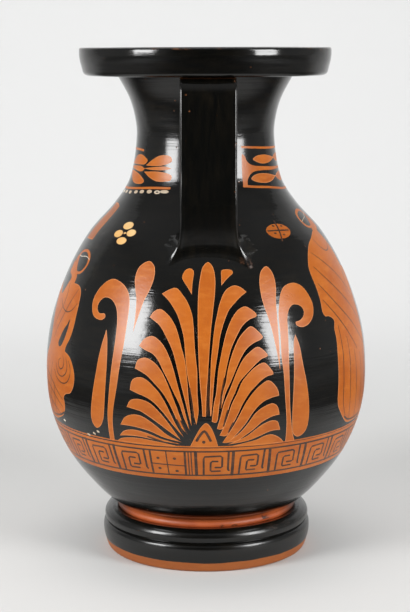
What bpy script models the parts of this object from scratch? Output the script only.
"""A pelike: a two-handled storage jar of fired clay, turned hollow, with strap handles.

The jar stands on Z = 0 with its axis on Z. The handles are at -Y and +Y.
Lengths are in metres.
"""

import math

import bmesh
import bpy
from mathutils import Vector

# Overall
JAR_HEIGHT = 0.360
WALL = 0.0058
TURN_STEPS = 52

# Foot, a disc in two degrees with a groove between them
FOOT_EDGE_RADIUS = 0.0720
FOOT_LOWER_RADIUS = 0.0755
FOOT_LOWER_HEIGHT = 0.0205
FOOT_GROOVE_DEPTH = 0.0013
FOOT_GROOVE_WIDTH = 0.0030
FOOT_UPPER_RADIUS = 0.0744
FOOT_HEIGHT = 0.0302
FOOT_TOP_ROUND = 0.0040
FOOT_EDGE_SOFTENING = 0.0010
FOOT_GROOVE_SOFTENING = 0.0004
RESTING_RING_WIDTH = 0.0100
UNDERSIDE_HEIGHT = 0.0240
UNDERSIDE_SLOPE = 0.0130
UNDERSIDE_RISE = 0.0015

# Fillet, a bead between the foot and the body
FILLET_RADIUS = 0.0650
FILLET_THICKNESS = 0.0052
FILLET_BED = 0.0012
FILLET_ARC = (-75, 55)
FILLET_SHOWING = 0.85

# Body: the widest ring, and the narrowest ring of the neck
BODY_JOINT_RADIUS = 0.0624
BELLY_RADIUS = 0.1151
BELLY_HEIGHT = 0.1340
NECK_RADIUS = 0.0487
NECK_HEIGHT = 0.2990
NECK_TOP_RADIUS = 0.0618

# Curve of each stretch, as (share of its rise, share of its change of radius)
FOOT_SIDE = ((0.05, 0.08), (0.22, 0.45), (0.45, 0.85), (0.70, 1.00))
LOWER_BODY = ((0.052, 0.175), (0.20, 0.448), (0.415, 0.738), (0.705, 0.950))
SHOULDER = ((0.19, 0.052), (0.41, 0.238), (0.585, 0.483), (0.715, 0.768), (0.815, 0.922))
UPPER_NECK = ((0.30, 0.080), (0.62, 0.365))
CURVE_STEPS = 2

# Lip, a thick disc over the neck
LIP_RADIUS = 0.0886
LIP_THICKNESS = 0.0192
LIP_TAPER = 0.0022
LIP_EDGE_ROUND = 0.0012
LIP_UNDER_ROUND = 0.0040
LIP_UNDER_ARC = (-90, -15)
MOUTH_RADIUS = 0.0730
MOUTH_SLOPE = 0.0035

# Face of the lip, as (share of its thickness, share of its taper)
LIP_FACE = ((0.50, 0.30), (0.75, 0.0))

# Inside: the bowl at the bottom, as (share of its radius, share of its rise)
INNER_FLOOR = 0.0075
BOWL_RISE = 0.0145
BOWL_SIDE = ((0.45, 0.10), (0.80, 0.48))
MOUTH_DEPTH_SHARE = 0.45

# Strap handles
STRAP_WIDTH = 0.0376
STRAP_THICKNESS = 0.0108
STRAP_BEAD = 0.0009
STRAP_LIP_GAP = 0.0016
STRAP_REACH = 0.0870
STRAP_BEND = 0.0115
STRAP_LEAN = 0.0035
STRAP_ROOT_WIDTH = 0.0515
STRAP_ROOT_HEIGHT = 0.2225
STRAP_ROOT_BLEND = 0.0130
STRAP_FLARE_LENGTH = 0.0338
STRAP_FLARE_CURVE = 1.6
STRAP_SPREAD_LENGTH = 0.0120
STRAP_SINK = 0.0012
STRAP_STEPS = 20
STRAP_BEND_STEPS = 5
STRAP_CURVE_STEPS = 3
STRAP_STEP_CLEARANCE = 0.3

# Fall of a strap, as (share of its fall, share of its lean)
STRAP_FALL = ((0.45, 0.6), (0.76, 1.0))

# Section of a strap, as (share of half its width, share of half its thickness)
STRAP_EDGE = (0.94, 0.62)
STRAP_RIM = (0.705, 1.0)
STRAP_HOLLOW = (0.47, 0.0)
STRAP_RIDGE = (0.0, 0.6)
STRAP_BACK = ((1.0, 0.0), (0.93, 0.72), (0.45, 1.0))

# Points closer than this are one point
SAME_POINT = 0.00001

GLOSS_BLACK = (0.012, 0.012, 0.011, 1.0)


def smooth_through(points, steps):
    """Points along a smooth curve through the given (radius, height) points."""
    given = [Vector(p) for p in points]
    before = given[0] * 2 - given[1]
    after = given[-1] * 2 - given[-2]
    row = [before] + given + [after]
    curve = []
    for i in range(1, len(row) - 2):
        knots = [0.0]
        for a, b in zip(row[i - 1:i + 2], row[i:i + 3]):
            knots.append(knots[-1] + (b - a).length ** 0.5)
        span = knots[2] - knots[1]
        slopes = []
        for j in (1, 2):
            left = (row[i - 1 + j] - row[i - 2 + j]) / (knots[j] - knots[j - 1])
            right = (row[i + j] - row[i - 1 + j]) / (knots[j + 1] - knots[j])
            reach = knots[j + 1] - knots[j - 1]
            slope = (left * (knots[j + 1] - knots[j]) + right * (knots[j] - knots[j - 1])) / reach
            slopes.append(slope * span)
        for k in range(steps):
            t = k / steps
            start_share = 2 * t ** 3 - 3 * t ** 2 + 1
            start_slope = t ** 3 - 2 * t ** 2 + t
            end_share = 3 * t ** 2 - 2 * t ** 3
            end_slope = t ** 3 - t ** 2
            curve.append(
                row[i] * start_share + slopes[0] * start_slope
                + row[i + 1] * end_share + slopes[1] * end_slope
            )
    curve.append(given[-1])
    return curve


def stretch(start, end, shares):
    """The points between start and end that the shares of rise and of radius give."""
    return [
        (start[0] + (end[0] - start[0]) * out, start[1] + (end[1] - start[1]) * rise)
        for rise, out in shares
    ]


def arc(centre, radius, start, end, steps):
    """Points on an arc, with its angles in degrees."""
    points = []
    for k in range(steps + 1):
        angle = math.radians(start + (end - start) * k / steps)
        points.append((centre[0] + radius * math.cos(angle), centre[1] + radius * math.sin(angle)))
    return points


LIP_BOTTOM = JAR_HEIGHT - LIP_THICKNESS
BODY_JOINT_HEIGHT = FOOT_HEIGHT + FILLET_THICKNESS * FILLET_SHOWING


def wall_curve():
    """The outer curve of body and neck, from the fillet up to the lip."""
    joint = (BODY_JOINT_RADIUS, BODY_JOINT_HEIGHT)
    belly = (BELLY_RADIUS, BELLY_HEIGHT)
    neck = (NECK_RADIUS, NECK_HEIGHT)
    top = (NECK_TOP_RADIUS, LIP_BOTTOM)
    points = [joint] + stretch(joint, belly, LOWER_BODY)
    points += [belly] + stretch(belly, neck, SHOULDER)
    points += [neck] + stretch(neck, top, UPPER_NECK) + [top]
    return smooth_through(points, CURVE_STEPS)


def radius_at(curve, height):
    """The radius of a curve of rising points at a height."""
    for low, high in zip(curve, curve[1:]):
        if low.y <= height <= high.y:
            share = (height - low.y) / (high.y - low.y)
            return low.x + (high.x - low.x) * share
    return curve[0].x if height < curve[0].y else curve[-1].x


def foot_points():
    """The foot's outline, from the middle of its underside out and up to the fillet."""
    ring_inner = FOOT_EDGE_RADIUS - RESTING_RING_WIDTH
    groove_low = FOOT_LOWER_HEIGHT - FOOT_GROOVE_WIDTH / 2
    groove_high = FOOT_LOWER_HEIGHT + FOOT_GROOVE_WIDTH / 2
    points = [
        (0.0, UNDERSIDE_HEIGHT),
        (ring_inner - UNDERSIDE_SLOPE, UNDERSIDE_HEIGHT - UNDERSIDE_RISE),
        (ring_inner, 0.0),
        (FOOT_EDGE_RADIUS - FOOT_EDGE_SOFTENING, 0.0),
    ]
    points += stretch((FOOT_EDGE_RADIUS, 0.0), (FOOT_LOWER_RADIUS, FOOT_LOWER_HEIGHT), FOOT_SIDE)
    points += [
        (FOOT_LOWER_RADIUS - FOOT_GROOVE_SOFTENING, groove_low),
        (FOOT_UPPER_RADIUS - FOOT_GROOVE_DEPTH / 2, FOOT_LOWER_HEIGHT),
        (FOOT_UPPER_RADIUS - FOOT_GROOVE_SOFTENING, groove_high),
    ]
    round_centre = (FOOT_UPPER_RADIUS - FOOT_TOP_ROUND, FOOT_HEIGHT - FOOT_TOP_ROUND)
    points += arc(round_centre, FOOT_TOP_ROUND, 0, 90, 4)
    bead = FILLET_THICKNESS / 2
    points += arc((FILLET_RADIUS - bead, FOOT_HEIGHT - FILLET_BED + bead), bead, *FILLET_ARC, 4)
    return points


def lip_points():
    """The lip's outline, from the top of the neck out and up to the middle of the top."""
    low_radius = LIP_RADIUS - LIP_TAPER
    under_centre = (low_radius - LIP_UNDER_ROUND, LIP_BOTTOM + LIP_UNDER_ROUND)
    edge_centre = (LIP_RADIUS - LIP_EDGE_ROUND, JAR_HEIGHT - LIP_EDGE_ROUND)
    points = arc(under_centre, LIP_UNDER_ROUND, *LIP_UNDER_ARC, 3)
    for rise, taper in LIP_FACE:
        points.append((LIP_RADIUS - LIP_TAPER * taper, LIP_BOTTOM + LIP_THICKNESS * rise))
    points += arc(edge_centre, LIP_EDGE_ROUND, 0, 90, 2)
    points.append((0.0, JAR_HEIGHT))
    return points


def cavity_points():
    """The hollow's outline, from the middle of its floor up and out above the mouth."""
    curve = wall_curve()
    floor = UNDERSIDE_HEIGHT + INNER_FLOOR
    inner = []
    for before, here, after in zip(curve, curve[1:], curve[2:]):
        along = (after - before).normalized()
        inner.append(Vector((here.x - along.y * WALL, here.y + along.x * WALL)))
    wall = [p for p in inner[::2] if floor + BOWL_RISE < p.y < LIP_BOTTOM - WALL]
    bowl = [(0.0, floor)]
    bowl += [(wall[0].x * out, floor + BOWL_RISE * rise) for out, rise in BOWL_SIDE]
    throat = [
        (NECK_TOP_RADIUS - WALL, LIP_BOTTOM),
        (MOUTH_RADIUS - MOUTH_SLOPE, JAR_HEIGHT - LIP_THICKNESS * MOUTH_DEPTH_SHARE),
    ]
    mouth = [(MOUTH_RADIUS, JAR_HEIGHT), (MOUTH_RADIUS, JAR_HEIGHT + WALL), (0.0, JAR_HEIGHT + WALL)]
    return bowl + [tuple(p) for p in wall] + throat + mouth


def turned(name, points):
    """A closed solid turned about Z from an outline that starts and ends on the axis."""
    mesh = bpy.data.meshes.new(name)
    shape = bmesh.new()
    ring = [shape.verts.new((radius, 0.0, height)) for radius, height in points]
    edges = [shape.edges.new(pair) for pair in zip(ring, ring[1:])]
    bmesh.ops.spin(
        shape,
        geom=ring + edges,
        cent=(0.0, 0.0, 0.0),
        axis=(0.0, 0.0, 1.0),
        angle=math.tau,
        steps=TURN_STEPS,
        use_merge=True,
    )
    bmesh.ops.remove_doubles(shape, verts=shape.verts, dist=SAME_POINT)
    bmesh.ops.recalc_face_normals(shape, faces=shape.faces)
    shape.to_mesh(mesh)
    shape.free()
    made = bpy.data.objects.new(name, mesh)
    bpy.context.scene.collection.objects.link(made)
    return made


def strap_path():
    """Stations of a handle as (point, outward direction, width), in the plane of X and Z."""
    curve = wall_curve()
    half = STRAP_THICKNESS / 2
    top = LIP_BOTTOM - STRAP_LIP_GAP - half
    bend = STRAP_BEND - half
    reach = STRAP_REACH - half
    start = radius_at(curve, top) - WALL
    root_radius = radius_at(curve, STRAP_ROOT_HEIGHT)
    line = [Vector((start, top)), Vector(((start + reach - bend) / 2, top))]
    bend_start = len(line)
    line += [Vector(p) for p in arc((reach - bend, top - bend), bend, 90, 8, STRAP_BEND_STEPS)]
    bend_end = len(line) - 1
    fall = line[-1].y - STRAP_ROOT_HEIGHT
    knee = line[-1].y
    line += [Vector((reach + STRAP_LEAN * lean, knee - fall * down)) for down, lean in STRAP_FALL]
    line.append(Vector((root_radius - half, STRAP_ROOT_HEIGHT)))
    line.append(Vector((root_radius - half - STRAP_SINK, STRAP_ROOT_HEIGHT - STRAP_ROOT_BLEND)))
    line = smooth_through(line, STRAP_CURVE_STEPS)
    lengths = [0.0]
    for a, b in zip(line, line[1:]):
        lengths.append(lengths[-1] + (b - a).length)
    low, high = (lengths[n * STRAP_CURVE_STEPS] for n in (bend_start, bend_end))
    bend_places = [low + (high - low) * k / STRAP_BEND_STEPS for k in range(STRAP_BEND_STEPS + 1)]
    step = lengths[-1] / STRAP_STEPS
    straight_places = [step * k for k in range(STRAP_STEPS + 1)]
    clear = step * STRAP_STEP_CLEARANCE
    places = bend_places + [at for at in straight_places if not low - clear < at < high + clear]
    stations = []
    for at in sorted(places):
        i = max(1, next(n for n, far in enumerate(lengths) if far >= at - SAME_POINT))
        share = (at - lengths[i - 1]) / (lengths[i] - lengths[i - 1])
        point = line[i - 1].lerp(line[i], share)
        along = (line[i] - line[i - 1]).normalized()
        near_root = max(0.0, 1.0 - (lengths[-1] - at) / STRAP_FLARE_LENGTH)
        near_lip = max(0.0, 1.0 - at / STRAP_SPREAD_LENGTH)
        flare = (STRAP_ROOT_WIDTH - STRAP_WIDTH) * near_root ** STRAP_FLARE_CURVE
        width = STRAP_WIDTH + flare + STRAP_BEAD * 2 * near_lip
        stations.append((point, Vector((-along.y, along.x)), width))
    return stations


def strap_section():
    """The strap's section as (share of half width, rise over the middle plane)."""
    half = STRAP_THICKNESS / 2
    hollow = half - STRAP_BEAD
    right = [
        (STRAP_EDGE[0], half * STRAP_EDGE[1]),
        (STRAP_RIM[0], half * STRAP_RIM[1]),
        (STRAP_HOLLOW[0], hollow),
        (STRAP_HOLLOW[0] / 2, hollow),
    ]
    ridge = [(STRAP_RIDGE[0], hollow + STRAP_BEAD * STRAP_RIDGE[1])]
    left = [(-across, rise) for across, rise in reversed(right)]
    back = [(across, -half * rise) for across, rise in STRAP_BACK]
    return right + ridge + left + [(-across, rise) for across, rise in back] + back[::-1]


def strap(name, turn):
    """A closed strap handle, turned about Z, with both ends inside the wall."""
    mesh = bpy.data.meshes.new(name)
    shape = bmesh.new()
    rings = []
    for point, outward, width in strap_path():
        ring = []
        for across, rise in strap_section():
            place = point + outward * -rise
            side = across * width / 2
            ring.append(shape.verts.new((place.x, side, place.y)))
        rings.append(ring)
    for lower, upper in zip(rings, rings[1:]):
        for k in range(len(lower)):
            n = (k + 1) % len(lower)
            shape.faces.new((lower[k], lower[n], upper[n], upper[k]))
    shape.faces.new(rings[0])
    shape.faces.new(rings[-1])
    bmesh.ops.recalc_face_normals(shape, faces=shape.faces)
    shape.to_mesh(mesh)
    shape.free()
    made = bpy.data.objects.new(name, mesh)
    made.rotation_euler = (0.0, 0.0, turn)
    bpy.context.scene.collection.objects.link(made)
    return made


def glazed(name):
    """The fired black gloss."""
    material = bpy.data.materials.new(name)
    material.use_nodes = True
    shader = material.node_tree.nodes["Principled BSDF"]
    shader.inputs["Base Color"].default_value = GLOSS_BLACK
    shader.inputs["Roughness"].default_value = 0.22
    shader.inputs["Metallic"].default_value = 0.0
    return material


def as_tool(made):
    """Marks an object as one that only shapes another."""
    made.hide_render = True
    made.display_type = "WIRE"
    return made


def build():
    for old in list(bpy.data.objects):
        bpy.data.objects.remove(old)
    wall = [tuple(p) for p in wall_curve()]
    jar = turned("pelike", foot_points() + wall + lip_points())
    jar.data.materials.append(glazed("black_gloss"))
    steps = [
        ("UNION", strap("front_strap", math.radians(-90))),
        ("UNION", strap("back_strap", math.radians(90))),
        ("DIFFERENCE", turned("hollow", cavity_points())),
    ]
    for operation, tool in steps:
        cut = jar.modifiers.new(tool.name, "BOOLEAN")
        cut.operation = operation
        cut.solver = "EXACT"
        cut.object = as_tool(tool)
    jar.data.shade_smooth()
    jar.data.set_sharp_from_angle(angle=math.radians(38))


build()
